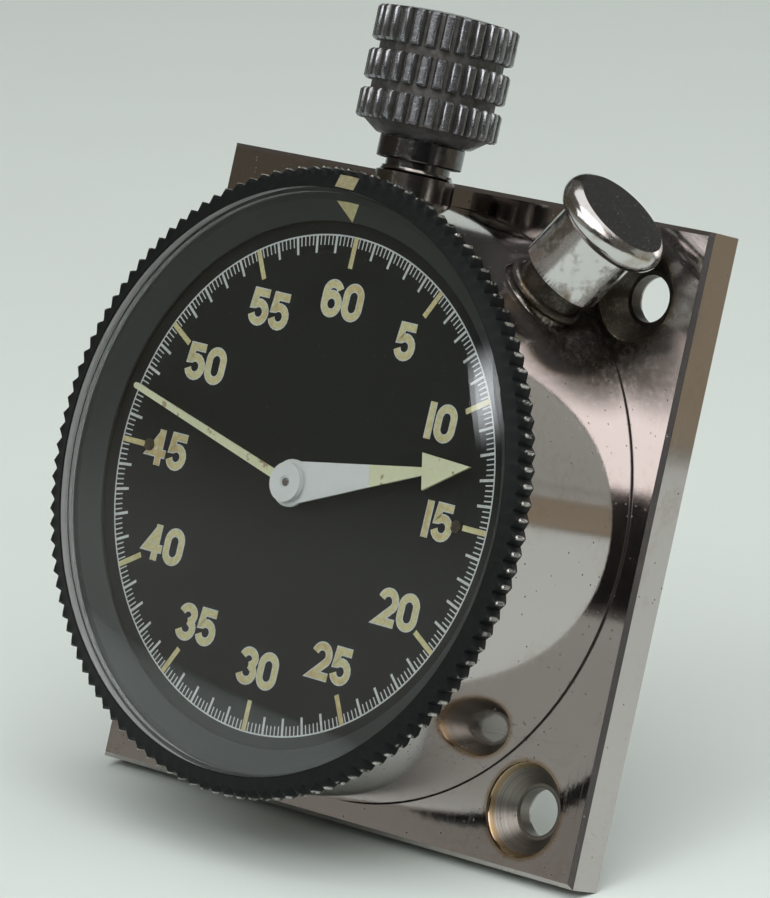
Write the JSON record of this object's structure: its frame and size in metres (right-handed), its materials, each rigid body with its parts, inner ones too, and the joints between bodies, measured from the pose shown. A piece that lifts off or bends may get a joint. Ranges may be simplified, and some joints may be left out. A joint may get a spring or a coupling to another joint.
{
  "type": "mechanical stopwatch",
  "caption": "Dashboard stopwatch: round cased movement on a square screw-down plate, with a turning coin-edge bezel, a winding crown that starts and stops it and a reset pusher.",
  "frame": {"origin": "centre of the corner-hole pattern on the mounting plate's back face", "axes": "dial faces -Y, twelve o'clock and the crown along +Z, +X to the right of the dial"},
  "size_m": [0.058, 0.0219, 0.0724],
  "materials": {
    "nickel": "polished nickel plate over brass, scratched and browned with age",
    "back_steel": "brushed",
    "black_metal": "satin black, worn bright on the crests",
    "cream": "aged luminous paint",
    "acrylic": "clear, finely scratched",
    "dial_black": "matt, printed",
    "hand_white": "white paint with cream luminous fill",
    "rubber": "matt",
    "steel": "polished",
    "blue_steel": "heat blued",
    "gilt": "gilt, frosted",
    "brass": "circular grain",
    "ruby": "polished"
  },
  "bodies": {
    "case": {"case_body": "nickel", "mounting_plate": "nickel", "plate_screws": "steel", "case_back": "back_steel", "back_gasket": "rubber", "crown_tube": "nickel", "pusher_tube": "nickel", "bezel_spring": "blue_steel", "dial": "dial_black", "dial_screws": "steel", "mainplate": "gilt", "movement_screws": "blue_steel", "barrel_bridge": "gilt", "train_bridge": "gilt", "balance_cock": "gilt", "pallet_cock": "gilt", "bridge_screws": "blue_steel", "jewels": "ruby", "crown_wheel_post": "blue_steel", "click_spring": "blue_steel", "hammer_spring": "blue_steel", "start_spring": "blue_steel", "hairspring": "blue_steel", "pusher_spring": "blue_steel"},
    "bezel_body": {"bezel": "black_metal", "bezel_marker": "cream", "flange_ring": "black_metal", "crystal": "acrylic"},
    "winding_body": {"winding_pinion": "steel"},
    "crown_body": {"crown": "nickel", "winding_stem": "steel"},
    "crown_wheel_body": {"crown_wheel": "brass"},
    "ratchet_body": {"ratchet_wheel": "brass", "ratchet_screw": "blue_steel", "barrel_arbor": "steel"},
    "click_body": {"click": "steel"},
    "barrel_body": {"barrel": "brass", "barrel_cover": "brass", "mainspring": "blue_steel"},
    "minute_body": {"minute_arbor": "steel", "centre_wheel": "brass", "minute_heart": "steel", "minute_hand": "hand_white"},
    "third_body": {"third_wheel": "brass"},
    "seconds_body": {"seconds_arbor": "steel", "fourth_wheel": "brass", "seconds_heart": "steel", "seconds_hand": "hand_white"},
    "escape_body": {"escape_wheel": "brass"},
    "pallet_body": {"pallet_lever": "steel"},
    "balance_body": {"balance_wheel": "brass", "balance_staff": "steel"},
    "pusher_body": {"pusher": "nickel", "pusher_stem": "steel"},
    "hammer_body": {"hammer_arbor": "steel", "seconds_hammer": "steel", "minute_hammer": "steel"},
    "start_body": {"start_lever": "steel"}
  },
  "joints": [
    {"name": "bezel_turn", "type": "hinge", "parent": "case", "child": "bezel_body", "pos_m": [0, -0.017, 0.0005], "axis": [0, 1, 0], "continuous": true},
    {"name": "crown_wind", "type": "hinge", "parent": "case", "child": "winding_body", "pos_m": [0, -0.0103, 0.0165], "axis": [0, 0, 1], "continuous": true},
    {"name": "crown_push", "type": "slide", "parent": "winding_body", "child": "crown_body", "axis": [0, 0, -1], "range_m": [0, 0.0011], "stiffness_N_per_m": 5000, "springref_m": -0.0005},
    {"name": "crown_wheel_wind", "type": "hinge", "parent": "case", "child": "crown_wheel_body", "pos_m": [0, -0.006, 0.0115], "axis": [0, -1, 0], "continuous": true},
    {"name": "ratchet_wind", "type": "hinge", "parent": "case", "child": "ratchet_body", "pos_m": [-0.0081, -0.006, 0.00517], "axis": [0, -1, 0], "continuous": true},
    {"name": "click_lift", "type": "hinge", "parent": "case", "child": "click_body", "pos_m": [-0.01558, -0.0056, 0.00649], "axis": [0, 1, 0], "range_deg": [0, 8], "stiffness_Nm_per_rad": 0.0003, "springref_deg": -11.46, "deforming": ["click_spring"]},
    {"name": "pusher_push", "type": "slide", "parent": "case", "child": "pusher_body", "axis": [-0.6428, 0, -0.766], "range_m": [0, 0.0016], "stiffness_N_per_m": 4000, "springref_m": -0.0006, "deforming": ["pusher_spring"]},
    {"name": "hammer_swing", "type": "hinge", "parent": "case", "child": "hammer_body", "pos_m": [0.0125, -0.009, 0.0065], "axis": [0, -1, 0], "range_deg": [0, 16.1], "deforming": ["hammer_spring"]},
    {"name": "start_lever_swing", "type": "hinge", "parent": "case", "child": "start_body", "pos_m": [0.0065, -0.009, 0.0125], "axis": [0, -1, 0], "range_deg": [0, 9.8], "deforming": ["start_spring"]},
    {"name": "seconds_run", "type": "hinge", "parent": "case", "child": "seconds_body", "pos_m": [0, -0.01, 0.0005], "axis": [0, 1, 0], "continuous": true},
    {"name": "minutes_run", "type": "hinge", "parent": "case", "child": "minute_body", "pos_m": [0, -0.013, 0.0005], "axis": [0, 1, 0], "continuous": true},
    {"name": "third_run", "type": "hinge", "parent": "case", "child": "third_body", "pos_m": [0.00559, -0.009, -0.00419], "axis": [0, 1, 0], "continuous": true},
    {"name": "barrel_run", "type": "hinge", "parent": "case", "child": "barrel_body", "pos_m": [-0.0081, -0.0095, 0.00517], "axis": [0, 1, 0], "continuous": true},
    {"name": "escape_run", "type": "hinge", "parent": "case", "child": "escape_body", "pos_m": [-0.00298, -0.009, -0.00588], "axis": [0, 1, 0], "continuous": true},
    {"name": "pallet_rock", "type": "hinge", "parent": "case", "child": "pallet_body", "pos_m": [-0.00465, -0.0095, -0.00825], "axis": [0, 1, 0], "range_deg": [-5, 5]},
    {"name": "balance_swing", "type": "hinge", "parent": "case", "child": "balance_body", "pos_m": [-0.0068, -0.008, -0.01128], "axis": [0, 1, 0], "range_deg": [-220, 220], "stiffness_Nm_per_rad": 0.0000025, "deforming": ["hairspring"]}
  ],
  "couplings": [
    {"joint": "crown_wheel_wind", "follows": "crown_wind", "ratio": 0.5},
    {"joint": "ratchet_wind", "follows": "crown_wind", "ratio": -0.47368},
    {"joint": "hammer_swing", "follows": "pusher_push", "rad_per_m": 174.86},
    {"joint": "start_lever_swing", "follows": "crown_push", "rad_per_m": 153.85},
    {"joint": "minutes_run", "follows": "seconds_run", "ratio": 0.016667},
    {"joint": "third_run", "follows": "seconds_run", "ratio": -0.13333},
    {"joint": "barrel_run", "follows": "seconds_run", "ratio": -0.0022222},
    {"joint": "escape_run", "follows": "seconds_run", "ratio": -10}
  ]
}
